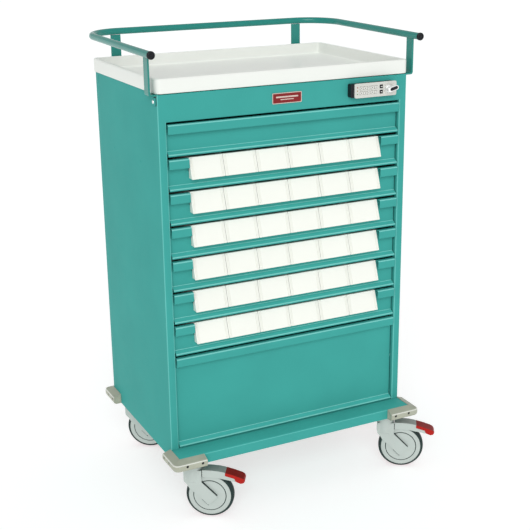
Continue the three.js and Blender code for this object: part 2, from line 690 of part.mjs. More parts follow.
const runnerHeights = [];
for (let i = 1; i <= SMALL_DRAWERS + 1; i += 1) {
  const large = i > SMALL_DRAWERS;
  const top = OPENING_TOP - (i - 1) * SMALL_DRAWER;
  const bottom = large ? LEDGE_Z : top - SMALL_DRAWER;
  const holdsBins = i > 1 && !large;
  const runnerZ = bottom + (large ? LARGE_RUNNER_UP : SMALL_RUNNER_UP);
  const wallTop = bottom + (large ? LARGE_WALL_UP : SMALL_WALL_UP);
  runnerHeights.push(runnerZ);
  add(`drawer_${i}`, drawer(bottom, top, runnerZ, wallTop, holdsBins), TEAL);
  if (holdsBins) add(`drawer_${i}_bins`, binRow(bottom, top), WHITE);
}
add('right_slide_plate', slidePlate(runnerHeights), STEEL);
add('left_slide_plate', mirrorX(slidePlate(runnerHeights)), STEEL);

add('lock_housing', lockHousing(), BLACK);
add('lock_face', lockFace(), SILVER);
add('lock_knob', lockKnob(), SILVER);
add('lock_bar', lockBar(runnerHeights), STEEL);
for (const key of keyPlaces()) add(key.name, lockKey(key), key.material);
add('name_badge', nameBadge(), RED);

for (const [end, stemY] of [['front', STEM_FRONT_Y], ['rear', STEM_REAR_Y]]) {
  for (const [side, sign] of [['left', -1], ['right', 1]]) {
    const caster = new THREE.Group();
    caster.position.set(sign * STEM_X, stemY, 0);
    caster.rotation.z = THREE.MathUtils.degToRad(TRAIL_ANGLE);
    cart.add(caster);
    add(`${end}_${side}_caster_fork`, casterFork(), CASTER_GREY, caster);
    add(`${end}_${side}_wheel`, casterWheel(), CASTER_GREY, caster);
    if (end === 'front') add(`${end}_${side}_brake_pedal`, brakePedal(), CASTER_GREY, caster);
  }
}

// The origin is the middle of the whole cart's footprint, on the floor.
const footprint = new THREE.Box3().setFromObject(cart).getCenter(new THREE.Vector3());
cart.position.set(-footprint.x, -footprint.y, 0);

export default cart;
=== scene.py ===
# Medication cart: the visual model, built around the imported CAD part.
# Shapes are drawn in millimetres, in the cabinet's frame or a caster's, and laid into the part's frame
# in metres. A shape is a pair of lists, its vertices and its faces, until piece() makes it an object.

import json
import math

import bmesh
import bpy
from mathutils import Matrix, Vector


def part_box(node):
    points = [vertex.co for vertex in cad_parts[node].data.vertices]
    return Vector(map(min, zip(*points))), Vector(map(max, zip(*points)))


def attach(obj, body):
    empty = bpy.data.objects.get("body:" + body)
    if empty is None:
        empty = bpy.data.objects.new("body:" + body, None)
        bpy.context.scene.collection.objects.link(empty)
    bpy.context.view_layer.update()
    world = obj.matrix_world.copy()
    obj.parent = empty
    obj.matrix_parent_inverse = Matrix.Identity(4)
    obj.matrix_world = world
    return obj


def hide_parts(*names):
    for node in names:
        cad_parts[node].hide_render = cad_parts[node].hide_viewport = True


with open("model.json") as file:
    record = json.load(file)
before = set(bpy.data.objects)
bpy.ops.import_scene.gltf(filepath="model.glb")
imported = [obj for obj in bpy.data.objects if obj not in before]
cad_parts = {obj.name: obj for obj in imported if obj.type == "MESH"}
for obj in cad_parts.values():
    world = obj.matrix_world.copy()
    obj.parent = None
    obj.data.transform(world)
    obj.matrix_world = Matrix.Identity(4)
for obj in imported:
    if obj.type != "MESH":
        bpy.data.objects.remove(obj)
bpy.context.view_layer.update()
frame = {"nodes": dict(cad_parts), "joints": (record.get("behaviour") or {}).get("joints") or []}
nodes = frame["nodes"]
joints = {j["name"]: j for j in frame["joints"]}

MM = 0.001

# ---------------------------------------------------------------- driving sizes, from the frame

left_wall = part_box("left_side_panel")
right_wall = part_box("right_side_panel")
back_low, back_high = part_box("back_panel")
CENTRE_X = (left_wall[0].x + right_wall[1].x) / 2
FRONT_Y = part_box("front_fascia")[0].y
HALF_W = (right_wall[1].x - left_wall[0].x) / 2 / MM
DEPTH = (back_high.y - FRONT_Y) / MM
OPENING_HALF = HALF_W - (left_wall[1].x - left_wall[0].x) / MM
SKIRT_Z = left_wall[0].z / MM
CABINET_TOP = left_wall[1].z / MM
LEDGE_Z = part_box("base_frame")[1].z / MM
REAR_WRAP = (back_high.y - back_low.y) / MM
SHEET = 1.5                       # steel sheet of the cabinet
GAP = 0.3                         # between neighbouring pieces
BEND_IN = 1.0                     # inside radius of a fold in the sheet
BEND_OUT = BEND_IN + SHEET
SPINDLE_R = 4                     # the thumb turn's spindle, which passes through the fascia

# Cabinet frame: x from the cabinet's middle, y back from the stiles' face, z from the floor.
CABINET = Matrix.Translation((CENTRE_X, FRONT_Y, 0)) @ Matrix.Scale(MM, 4)


def node_box(name):
    """A node's corners in the cabinet frame, in millimetres."""
    inverse = CABINET.inverted()
    low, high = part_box(name)
    return inverse @ low, inverse @ high


def joint_place(name):
    """A joint's place in the cabinet frame, in millimetres."""
    return CABINET.inverted() @ Vector(joints[name]["pos_m"])


# ---------------------------------------------------------------- outlines

def corner_arc(before, corner, after, radius, steps):
    """The corner of a line of points, rounded to a radius."""
    a = Vector(before) - Vector(corner)
    b = Vector(after) - Vector(corner)
    half = a.angle(b) / 2
    if radius <= 0 or half > math.radians(89.5):
        return [tuple(corner)]
    reach = min(radius / math.tan(half), 0.49 * a.length, 0.49 * b.length)
    radius = reach * math.tan(half)
    start = Vector(corner) + a.normalized() * reach
    end = Vector(corner) + b.normalized() * reach
    middle = Vector(corner) + (a.normalized() + b.normalized()).normalized() * (radius / math.sin(half))
    first, last = start - middle, end - middle
    sweep = first.angle_signed(last) * -1
    points = []
    for i in range(steps + 1):
        turned = first.copy()
        turned.rotate(Matrix.Rotation(sweep * i / steps, 2))
        points.append(tuple(middle + turned))
    return points


def rounded(points, radius, steps=4, closed=True):
    """An outline with its corners rounded; radius is one number or one for each point."""
    radii = radius if isinstance(radius, (list, tuple)) else [radius] * len(points)
    result = []
    for i, point in enumerate(points):
        if not closed and i in (0, len(points) - 1):
            result.append(tuple(point))
            continue
        after = points[(i + 1) % len(points)]
        result += corner_arc(points[i - 1], point, after, radii[i], steps)
    return result


def rectangle(u0, u1, v0, v1, radius, steps=4):
    """A rectangle with rounded corners."""
    return rounded([(u0, v0), (u1, v0), (u1, v1), (u0, v1)], radius, steps)


def folded(bends, thickness=SHEET, inside=BEND_IN, steps=4):
    """The outline of a folded strip of sheet: the line of bends, thickened to its left."""
    radii = []
    for i in range(len(bends)):
        if i in (0, len(bends) - 1):
            radii.append(0)
            continue
        a = Vector(bends[i]) - Vector(bends[i - 1])
        b = Vector(bends[i + 1]) - Vector(bends[i])
        turns_left = a.x * b.y - a.y * b.x > 0
        radii.append(inside + thickness if turns_left else inside)
    line = [Vector(p) for p in rounded(bends, radii, steps, closed=False)]
    offset = []
    for i, point in enumerate(line):
        before = (point - line[i - 1]).normalized() if i else (line[1] - point).normalized()
        after = (line[i + 1] - point).normalized() if i + 1 < len(line) else before
        normal = Vector((-before.y - after.y, before.x + after.x))
        normal *= 2 / normal.length_squared
        offset.append(point + normal * thickness)
    return [tuple(p) for p in line + offset[::-1]]


# ---------------------------------------------------------------- solids: (vertices, faces)

AXES = {
    "x": lambda u, v, w: (w, u, v),
    "y": lambda u, v, w: (u, w, v),
    "z": lambda u, v, w: (u, v, w),
}


def loft(rings, capped=True):
    """Quads between closed rings of points, with the two ends closed."""
    count = len(rings[0])
    vertices = [p for ring in rings for p in ring]
    faces = []
    for r in range(len(rings) - 1):
        for i in range(count):
            j = (i + 1) % count
            faces.append((r * count + i, r * count + j, (r + 1) * count + j, (r + 1) * count + i))
    if capped:
        last = (len(rings) - 1) * count
        faces.append(tuple(range(count))[::-1])
        faces.append(tuple(last + i for i in range(count)))
    return vertices, faces


def prism(outline, w0, w1, axis):
    """An outline pushed along an axis."""
    return loft([[AXES[axis](u, v, w) for u, v in outline] for w in (w0, w1)])


def turned(profile, segments, axis="z"):
    """A closed profile of (radius, height) turned round an axis; zero radii close on it."""
    rings = []
    for k in range(segments):
        angle = 2 * math.pi * k / segments
        rings.append([AXES[axis](r * math.cos(angle), r * math.sin(angle), h) for r, h in profile])
    return loft(rings + [rings[0]], capped=False)


def cylinder(radius, start, end, segments, axis="z"):
    return turned([(0, start), (radius, start), (radius, end), (0, end)], segments, axis)


def merged(*shapes):
    """Several shapes as one."""
    vertices, faces = [], []
    for v, f in shapes:
        base = len(vertices)
        vertices += v
        faces += [tuple(base + i for i in face) for face in f]
    return vertices, faces


def moved(shape, x=0, y=0, z=0):
    return [(a + x, b + y, c + z) for a, b, c in shape[0]], shape[1]


def mirrored(shape):
    """The same shape on the other side of x = 0."""
    return [(-a, b, c) for a, b, c in shape[0]], [face[::-1] for face in shape[1]]


def raw_mesh(name, shape):
    """The shape as a mesh, with doubled points joined and every face turned outward."""
    mesh = bpy.data.meshes.new(name)
    mesh.from_pydata([tuple(v) for v in shape[0]], [], shape[1])
    cleaner = bmesh.new()
    cleaner.from_mesh(mesh)
    bmesh.ops.remove_doubles(cleaner, verts=cleaner.verts, dist=1e-4)
    bmesh.ops.dissolve_degenerate(cleaner, edges=cleaner.edges, dist=1e-4)
    bmesh.ops.recalc_face_normals(cleaner, faces=cleaner.faces)
    cleaner.to_mesh(mesh)
    cleaner.free()
    return mesh


def combined(shape, tools, operation="DIFFERENCE"):
    """A shape cut by, or joined to, a list of others."""
    base = bpy.data.objects.new("work", raw_mesh("work", shape))
    bpy.context.scene.collection.objects.link(base)
    helpers = []
    for tool in tools:
        helper = bpy.data.objects.new("tool", raw_mesh("tool", tool))
        bpy.context.scene.collection.objects.link(helper)
        helpers.append(helper)
        modifier = base.modifiers.new("cut", "BOOLEAN")
        modifier.operation = operation
        modifier.solver = "EXACT"
        modifier.object = helper
    result = base.evaluated_get(bpy.context.evaluated_depsgraph_get()).to_mesh()
    made = [tuple(v.co) for v in result.vertices], [tuple(p.vertices) for p in result.polygons]
    for o in [base] + helpers:
        mesh = o.data
        bpy.data.objects.remove(o)
        bpy.data.meshes.remove(mesh)
    return made


# ---------------------------------------------------------------- pieces

def soften(obj, width, steps=2, angle=40):
    """Rounded edges, width in millimetres."""
    modifier = obj.modifiers.new("rounded_edges", "BEVEL")
    modifier.width = width * MM
    modifier.segments = steps
    modifier.limit_method = "ANGLE"
    modifier.angle_limit = math.radians(angle)
    modifier.harden_normals = True
    modifier.use_clamp_overlap = True


FOLD_STRIP = 1.4                  # faces narrower than this belong to a fold
SLOPING = 0.12                    # a normal's least share upward or sideways, to catch the light
FLAT = 0.98                       # past this a normal is straight up, on no fold


def paint_fold_highlights(mesh, material):
    """The narrow strips round a mesh's upward and sideways folds take a lighter material, a painted highlight
    on the bends.
    """
    mesh.materials.append(material)
    corners = mesh.vertices
    for face in mesh.polygons:
        shortest = min((corners[a].co - corners[b].co).length for a, b in face.edge_keys)
        narrow = shortest < FOLD_STRIP * MM and len(face.vertices) == 4
        sideways = abs(face.normal.x) > SLOPING
        if narrow and abs(face.normal.z) < FLAT and (face.normal.z > SLOPING or sideways):
            face.material_index = 1


def piece(name, shape, material, body="cabinet", at=CABINET, edge=0.0, smooth=35, stands_for=(),
          folds=None):
    """One visible piece: a shape in its local frame, riding on a body and standing for CAD nodes."""
    mesh = raw_mesh(name, shape)
    mesh.transform(at)
    if at.determinant() < 0:
        mesh.flip_normals()
    mesh.shade_smooth()
    mesh.set_sharp_from_angle(angle=math.radians(smooth))
    obj = bpy.data.objects.new(name, mesh)
    bpy.context.scene.collection.objects.link(obj)
    mesh.materials.append(material)
    # folds is a lighter material, painted on the bends as a highlight.
    if folds:
        paint_fold_highlights(mesh, folds)
    if edge:
        soften(obj, edge)
    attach(obj, body)
    if stands_for:
        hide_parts(*stands_for)
    return obj


def dress(name, material, edge=0.0):
    """A CAD node that stays, with its own material and softly broken edges."""
    obj = nodes[name]
    obj.data.materials.clear()
    obj.data.materials.append(material)
    if edge:
        weld = obj.modifiers.new("weld", "WELD")
        weld.merge_threshold = 1e-5
        flat = obj.modifiers.new("flat_faces", "DECIMATE")
        flat.decimate_type = "DISSOLVE"
        flat.angle_limit = math.radians(0.5)
        soften(obj, edge, angle=25)


# ---------------------------------------------------------------- materials

def painted_top_shading(tree, colour, share):
    """The colour, multiplied by a share where the surface faces up: painted light on top faces where the
    share is over 1, painted shade where it is under.
    """
    geometry = tree.nodes.new("ShaderNodeNewGeometry")
    parts = tree.nodes.new("ShaderNodeSeparateXYZ")
    tree.links.new(geometry.outputs["Normal"], parts.inputs["Vector"])
    upward = tree.nodes.new("ShaderNodeMapRange")
    upward.inputs["From Min"].default_value = 0.45
    upward.inputs["From Max"].default_value = 0.85
    tree.links.new(parts.outputs["Z"], upward.inputs["Value"])
    mix = tree.nodes.new("ShaderNodeMix")
    mix.data_type = "RGBA"
    mix.blend_type = "MULTIPLY"
    mix.inputs["B"].default_value = (share, share, share, 1)
    tree.links.new(upward.outputs["Result"], mix.inputs["Factor"])
    tree.links.new(colour, mix.inputs["A"])
    return mix.outputs["Result"]


def surface(name, color, drift, roughness, grain, depth, metallic=0.0, patch=120, stretch=(1, 1, 1),
            specular=0.5, top=1.0):
    """A finish whose colour drifts a little over patches and whose skin has a fine grain, sizes in mm.

    Upward faces carry the colour times top: painted light where top is over 1, painted shade where it is
    under."""
    material = bpy.data.materials.new(name)
    material.use_nodes = True
    tree = material.node_tree
    shader = tree.nodes["Principled BSDF"]
    shader.inputs["Metallic"].default_value = metallic
    shader.inputs["Specular IOR Level"].default_value = specular
    place = tree.nodes.new("ShaderNodeTexCoord")
    scaled = tree.nodes.new("ShaderNodeMapping")
    scaled.inputs["Scale"].default_value = stretch
    tree.links.new(place.outputs["Object"], scaled.inputs["Vector"])

    def noise(size, detail):
        node = tree.nodes.new("ShaderNodeTexNoise")
        node.inputs["Scale"].default_value = 1 / (size * MM)
        node.inputs["Detail"].default_value = detail
        tree.links.new(scaled.outputs["Vector"], node.inputs["Vector"])
        return node.outputs["Fac"]

    patches = noise(patch, 3)
    ramp = tree.nodes.new("ShaderNodeValToRGB")
    ramp.color_ramp.elements[0].position = 0.3
    ramp.color_ramp.elements[1].position = 0.7
    ramp.color_ramp.elements[0].color = (*[c * (1 - drift) for c in color], 1)
    ramp.color_ramp.elements[1].color = (*[min(1, c * (1 + drift)) for c in color], 1)
    tree.links.new(patches, ramp.inputs["Fac"])
    colour = ramp.outputs["Color"]
    if top != 1.0:
        colour = painted_top_shading(tree, colour, top)
    tree.links.new(colour, shader.inputs["Base Color"])
    spread = tree.nodes.new("ShaderNodeMapRange")
    spread.inputs["To Min"].default_value = roughness * 0.88
    spread.inputs["To Max"].default_value = roughness * 1.12
    tree.links.new(noise(patch / 5, 4), spread.inputs["Value"])
    tree.links.new(spread.outputs["Result"], shader.inputs["Roughness"])
    bump = tree.nodes.new("ShaderNodeBump")
    bump.inputs["Distance"].default_value = depth * MM
    bump.inputs["Strength"].default_value = 1.0
    tree.links.new(noise(grain, 2), bump.inputs["Height"])
    tree.links.new(bump.outputs["Normal"], shader.inputs["Normal"])
    return material


# Upward faces of the teal coat are painted 1.24 times lighter: painted light on ledges and tops.
TEAL = surface("teal_powder_coat", (0.050, 0.330, 0.298), 0.035, 0.46, 2.4, 0.012, specular=0.03,
               top=1.24)
# Lighter teal on the strips round the bends: painted highlights along the folds, the second one softer for
# the walls and the base pan.
PAINTED_FOLD_HIGHLIGHT = surface("teal_painted_fold_highlight", (0.17, 0.54, 0.50), 0.04, 0.3, 2.4, 0.012, specular=0.3)
PAINTED_SOFT_FOLD_HIGHLIGHT = surface("teal_painted_wide_fold_highlight", (0.10, 0.45, 0.41), 0.04, 0.35, 2.4, 0.012, specular=0.3)
RAIL_TEAL = surface("teal_gloss_coat", (0.011, 0.215, 0.182), 0.04, 0.22, 2.0, 0.006, specular=0.4)
# The tray's upward faces are painted 1.15 times lighter: painted light.
TRAY_WHITE = surface("tray_plastic", (0.765, 0.785, 0.745), 0.012, 0.38, 1.6, 0.006, specular=0.35,
                     top=1.15)
BIN_WHITE = surface("bin_plastic", (0.835, 0.845, 0.785), 0.012, 0.42, 1.2, 0.006, specular=0.3)
BUMPER = surface("bumper_vinyl", (0.375, 0.39, 0.31), 0.06, 0.42, 1.5, 0.05, patch=30, specular=0.35)
# A pale strip laid along each bumper's ridge: a painted highlight.
BUMPER_RIDGE_HIGHLIGHT_PAINT = surface("bumper_painted_ridge_highlight", (0.66, 0.68, 0.62), 0.05, 0.3, 1.5, 0.02, patch=30)
# The nylon's upward faces are painted darker, at 0.58: painted shade on the casters' tops.
CASTER = surface("caster_nylon", (0.445, 0.497, 0.470), 0.03, 0.42, 1.4, 0.02, patch=40, specular=0.3,
                 top=0.58)
TREAD = surface("tread_rubber", (0.018, 0.036, 0.033), 0.15, 0.6, 1.0, 0.04, patch=25, specular=0.2)
# The pad's upward faces are painted darker, at 0.6: painted shade on its top.
RED = surface("brake_pad_plastic", (0.38, 0.012, 0.008), 0.08, 0.4, 1.5, 0.02, patch=20, specular=0.15,
              top=0.6)
STEEL = surface("zinc_steel", (0.60, 0.62, 0.62), 0.04, 0.32, 0.8, 0.008, metallic=1.0, stretch=(8, 1, 8))
SILVER = surface("lock_silver", (0.60, 0.60, 0.56), 0.03, 0.34, 0.7, 0.008, metallic=0.25,
                 stretch=(1, 1, 6))
BRIGHT = surface("bright_nickel", (0.86, 0.87, 0.86), 0.03, 0.24, 0.7, 0.004, metallic=0.4, patch=12)
KEY_SILVER = surface("key_silver", (0.70, 0.70, 0.66), 0.03, 0.30, 0.8, 0.006, metallic=0.15, patch=10)
BLACK = surface("black_plastic", (0.008, 0.009, 0.012), 0.2, 0.38, 0.9, 0.02, patch=20, specular=0.25)
BADGE = surface("badge_enamel", (0.20, 0.006, 0.008), 0.08, 0.3, 3.0, 0.01, patch=15, specular=0.3)
BADGE_RIM = surface("badge_border", (0.66, 0.52, 0.46), 0.06, 0.28, 1.0, 0.01, metallic=0.5, patch=10)
LAMPS = [surface(f"lamp_{k}", c, 0.05, 0.2, 1.0, 0.01, patch=5)
         for k, c in enumerate([(0.30, 0.05, 0.03), (0.35, 0.22, 0.05), (0.06, 0.25, 0.08)])]


# ---------------------------------------------------------------- cabinet shell

STILE_RETURN = 12                 # depth of the fold behind a stile
SLOT_MARGIN, SLOT_HEIGHT = 8, 20  # slots in the rear seam, near the top and the bottom
UPPER_SLOT_DROP = 26
PAD_HALF = 38
RIVET_R, RIVET_H = 2.6, 0.9


def side_wall(side):
    """Wall, stile and return folded from one sheet; the stile runs from the ledge to the fascia."""
    seam = DEPTH - REAR_WRAP - GAP
    bends = [(-HALF_W, seam), (-HALF_W, 0), (-OPENING_HALF, 0), (-OPENING_HALF, STILE_RETURN)]
    wall = prism(folded(bends), SKIRT_Z, CABINET_TOP, "z")
    opening_top = node_box("front_fascia")[0].z
    outer, inner, behind = -HALF_W + SHEET + GAP, -OPENING_HALF + 5, STILE_RETURN + 2
    stile = [(outer, -1), (inner, -1), (inner, behind), (outer, behind)]
    shape = combined(wall, [prism(stile, SKIRT_Z - 1, LEDGE_Z + GAP, "z"),
                            prism(stile, opening_top + BEND_OUT, CABINET_TOP + 1, "z")])
    # The wall's folds carry painted highlights.
    piece(f"{side}_side_wall", shape if side == "left" else mirrored(shape), TEAL,
          stands_for=[f"{side}_side_panel"], folds=PAINTED_SOFT_FOLD_HIGHLIGHT)


def back_wall():
    """Back sheet wrapped round the rear corners, with a slot near each end of both seams."""
    wrap = DEPTH - REAR_WRAP
    bends = [(HALF_W, wrap), (HALF_W, DEPTH), (-HALF_W, DEPTH), (-HALF_W, wrap)]
    start = SKIRT_Z + SLOT_MARGIN
    outline = rectangle(wrap - 1, wrap + 2.6, start, start + SLOT_HEIGHT, 1)
    slot = prism(outline, -HALF_W - 5, HALF_W + 5, "x")
    upper = moved(slot, z=CABINET_TOP - UPPER_SLOT_DROP - start)
    shape = combined(prism(folded(bends), SKIRT_Z, CABINET_TOP, "z"), [slot, upper])
    piece("back_wall", shape, TEAL, edge=0.35, stands_for=["back_panel"])


def fascia():
    """Folded front sheet with a hole for the thumb turn's spindle."""
    low, high = node_box("front_fascia")
    bends = [(high.y, high.z), (0, high.z), (0, low.z), (high.y, low.z)]
    shape = prism(folded(bends), low.x, high.x, "x")
    pivot = joint_place("lock_knob_turn")
    hole = moved(cylinder(SPINDLE_R + 0.5, -40, 20, 24, "y"), x=pivot.x, z=pivot.z)
    shape = combined(shape, [hole])
    piece("fascia_panel", shape, TEAL, stands_for=["front_fascia"])


def base():
    """Pan under the cabinet: a ledge in front, skirts all round and a pad over each caster."""
    low, high = node_box("base_frame")

    def plan(inset, z):
        wide = HALF_W - inset
        narrow = HALF_W - SHEET - GAP - inset
        step = -GAP - inset
        rear = high.y - inset
        front = low.y + inset
        return [(u, v, z) for u, v in [(-wide, front), (wide, front), (wide, step), (narrow, step),
                                       (narrow, rear), (-narrow, rear), (-narrow, step), (-wide, step)]]

    under = high.z - SHEET
    bend = [(BEND_OUT * (1 - math.cos(a)), high.z - BEND_OUT * (1 - math.sin(a)))
            for a in [math.pi / 6 * k for k in range(4)]]
    rings = [plan(SHEET, under), plan(SHEET, low.z), plan(0, low.z)] + [plan(i, z) for i, z in bend]
    # The ledge's bend carries a painted highlight.
    piece("base_pan", loft(rings), TEAL, stands_for=["base_frame"], folds=PAINTED_SOFT_FOLD_HIGHLIGHT)
    for end in ("front", "rear"):
        for side in ("left", "right"):
            stem = joint_place(f"{end}_{side}_caster_swivel")
            pad = prism(rectangle(stem.x - PAD_HALF, stem.x + PAD_HALF, max(stem.y - PAD_HALF, low.y + 4),
                                  min(stem.y + PAD_HALF, high.y - 4), 5), under - 4, under - 0.2, "z")
            piece(f"{end}_{side}_caster_pad", pad, STEEL, edge=0.5)


def dome(radius, height, steps=4, segments=20):
    """A low rounded head standing on z = 0."""
    profile = [(0, 0), (radius, 0)]
    profile += [(radius * math.cos(a), height * math.sin(a))
                for a in [math.pi / 2 * k / steps for k in range(steps)]][1:]
    profile.append((0, height))
    return turned(profile, segments)


def onto(point, outward):
    """A local frame whose z points outward at a place in the cabinet frame."""
    turn = Vector(outward).to_track_quat("Z", "X").to_matrix().to_4x4()
    return CABINET @ Matrix.Translation(point) @ turn


def rivets():
    """Low heads where the slide rails are fastened to the side walls, and along the back's folds."""
    wall_spots = [(294, 828), (118, 827), (320, 459), (142, 441)]
    for side, sign in (("left", -1), ("right", 1)):
        for k, (y, z) in enumerate(wall_spots):
            piece(f"{side}_wall_rivet_{k + 1}", dome(RIVET_R, RIVET_H), TEAL,
                  at=onto((sign * HALF_W, y, z), (sign, 0, 0)))
    columns = (-270, -90, 90, 270)
    rows = (SKIRT_Z + 22, CABINET_TOP - 64)
    for k, x in enumerate(columns):
        for row, z in enumerate(rows):
            piece(f"back_rivet_{row * len(columns) + k + 1}", dome(RIVET_R, RIVET_H), TEAL,
                  at=onto((x, DEPTH, z), (0, 1, 0)))


# ---------------------------------------------------------------- work tray

TRAY_CORNER = 15
TRAY_WALL = 8.5
TRAY_FLOOR = 3.9
RIM_OUTER, RIM_INNER = 3.2, 2.4   # radii of the rim's two edges
COVE = 7                          # radius between the wall and the floor
DRAFT = 1.4


def work_tray():
    """Moulded tray: a rounded rim, gently drafted walls and a coved floor."""
    low, high = node_box("work_tray")
    rim = high.z - low.z

    def ring(inset, z):
        outline = rectangle(low.x + inset, high.x - inset, low.y + inset, high.y - inset,
                            max(TRAY_CORNER - inset, 3), 8)
        return [(u, v, low.z + z) for u, v in outline]

    quarter = [math.pi / 8 * k for k in range(5)]
    fine_quarter = [math.pi / 10 * k for k in range(1, 6)]
    foot = TRAY_WALL + DRAFT
    profile = [(1.6, 0), (0.4, 0.5), (0, 1.6), (0, rim - RIM_OUTER)]
    profile += [(RIM_OUTER * (1 - math.cos(a)), rim - RIM_OUTER * (1 - math.sin(a))) for a in quarter[1:]]
    profile += [(TRAY_WALL - RIM_INNER * (1 - math.sin(a)), rim - RIM_INNER * (1 - math.cos(a)))
                for a in quarter]
    profile += [(foot, TRAY_FLOOR + COVE)]
    profile += [(foot + COVE * (1 - math.cos(a)), TRAY_FLOOR + COVE * (1 - math.sin(a)))
                for a in fine_quarter]
    piece("tray", loft([ring(inset, z) for inset, z in profile]), TRAY_WHITE,
          smooth=50, stands_for=["work_tray"])


# ---------------------------------------------------------------- guard rail

RAIL_R = 7.8
RAIL_BEND = 90
RAIL_RISE = 4.6                   # the back run stands this much over the front ends
PLUG_R = 8.9
PLUG_LENGTH = 5
PLUG_INSET = 8
TUBE_SIDES = 28
POST_T = 4
FOOT_T = 2.2
FOOT_FRONT = 6.5                  # behind the stiles' face
POST_FOOT_DROP = 21
SHADOW_PLATE_FRONT = 3.8


def guard_rail():
    """Tube rail: two arms and a back run, which stands a little higher than the front ends."""
    low, high = node_box("guard_rail")
    x, back, front = high.x - PLUG_R, high.y - RAIL_R, low.y
    arm_end = front + PLUG_LENGTH
    line = rounded([(-x, arm_end), (-x, back), (x, back), (x, arm_end)], RAIL_BEND, 18, closed=False)

    def height(y):
        return high.z - RAIL_R - RAIL_RISE * (back - y) / (back - front)

    rings = []
    for i, point in enumerate(line):
        before = Vector(point) - Vector(line[i - 1]) if i else Vector(line[1]) - Vector(point)
        after = Vector(line[i + 1]) - Vector(point) if i + 1 < len(line) else before
        along = (before.normalized() + after.normalized()).normalized()
        across = Vector((-along.y, along.x))
        ring = []
        for k in range(TUBE_SIDES):
            angle = 2 * math.pi * k / TUBE_SIDES
            spot = Vector(point) + across * (RAIL_R * math.cos(angle))
            ring.append((spot.x, spot.y, height(spot.y) + RAIL_R * math.sin(angle)))
        rings.append(ring)
    piece("rail_tube", loft(rings), RAIL_TEAL, edge=0.4, smooth=50,
          stands_for=["guard_rail"])
    for side, middle in (("left", -x), ("right", x)):
        plug = moved(rail_plug(), x=middle, y=arm_end, z=height(front))
        piece(f"{side}_rail_plug", plug, BLACK, smooth=40)


def rail_plug():
    """Push-in end plug: a stub in the tube and a domed cap with a ring groove in its face."""
    bore = RAIL_R - 1.6
    groove = -PLUG_LENGTH + 0.9
    profile = [(0, PLUG_INSET), (bore, PLUG_INSET), (bore, 0.2), (PLUG_R, 0), (PLUG_R, -3.2),
               (PLUG_R - 0.7, -4.4), (PLUG_R - 2.2, -PLUG_LENGTH), (5.0, -PLUG_LENGTH),
               (4.6, groove), (3.8, groove), (3.4, -PLUG_LENGTH), (0, -PLUG_LENGTH)]
    return turned(profile, 28, "y")


def side_post(side):
    """Flat bar under the rail, turned in at the top of the wall over a screwed foot, with a dark plate behind
    the foot as painted shadow round its edges.
    """
    low, high = node_box("right_rail_post")
    wall = HALF_W + GAP
    bar = prism(folded([(wall, low.z), (high.x, low.z), (high.x, high.z + 3)], POST_T, inside=2),
                low.y, high.y, "y")
    foot_back, foot_low = high.y + 8, low.z - POST_FOOT_DROP
    plate = prism(rectangle(FOOT_FRONT, foot_back, foot_low, low.z - 3.2, [3, 3, 0.5, 0.5]),
                  wall, wall + FOOT_T, "x")
    # A dark plate a little larger than the foot, just off the wall: painted shadow along the foot's top and
    # front edges.
    painted_shadow_plate = prism(rectangle(SHADOW_PLATE_FRONT, foot_back, foot_low, low.z - 0.2, [1, 3, 0.5, 0.5]),
                 HALF_W + 0.05, wall + 0.1, "x")
    sign = 1 if side == "right" else -1
    flip = merged if side == "right" else mirrored
    piece(f"{side}_post", flip(bar), RAIL_TEAL, edge=0.6,
          stands_for=[f"{side}_rail_post"])
    piece(f"{side}_post_foot", flip(plate), TEAL, edge=0.4)
    piece(f"{side}_post_shim", flip(painted_shadow_plate), BLACK)
    spot = (sign * (wall + FOOT_T), high.y - 9, low.z - 13)
    piece(f"{side}_post_screw", screw_head(4.2), BRIGHT, at=onto(spot, (sign, 0, 0)))


def screw_head(radius):
    """A pan head with a cross recess."""
    head = dome(radius, radius * 0.55)
    arms = [prism(rectangle(-radius * a, radius * a, -radius * b, radius * b, 0.1, 1),
                  radius * 0.25, radius, "z") for a, b in ((0.55, 0.12), (0.12, 0.55))]
    return combined(head, arms)


# ---------------------------------------------------------------- corner bumpers

SQUARENESS = 0.6                  # below 1 the corner is squarer than a quarter circle
BUMPER_NOSE = [(-7, 0), (-2, 2.5), (0, 6.5), (0, 17), (-2.5, 19)]
# Section of the pale strip that paints the highlight along the ridge.
RIDGE_HIGHLIGHT_SECTION = [(-3.2, 18.0), (-3.0, 19.15), (-0.5, 17.75), (0.05, 16.4), (-0.9, 16.2)]
RIDGE_HIGHLIGHT_SHORT = 1.0
CORNER_STEPS = 10
LEG_END = [(1.2, 0.35), (1.2, 0.5), (0, 0.62), (0, 0.7), (1.2, 0.82), (0, 0.9), (0.2, 1.0)]
SCREWS_X = (11, 49)               # along each leg from the corner
SCREWS_Y = (16, 46)
HOLE_R, HOLE_DEPTH = 3.2, 4


def bumper_section(depth, height, scale):
    """Flat back, sloping top and flat face: (distance from the base, height over the middle)."""
    corners = [(GAP, 0)] + [(depth + out, up) for out, up in BUMPER_NOSE] + [(GAP, height)]
    outline = rounded(corners, [0, 2.5, 2.5, 2, 1.6, 1.6, 0], 2)
    return [((out - depth / 2) * scale + depth / 2, (up - height / 2) * scale) for out, up in outline]


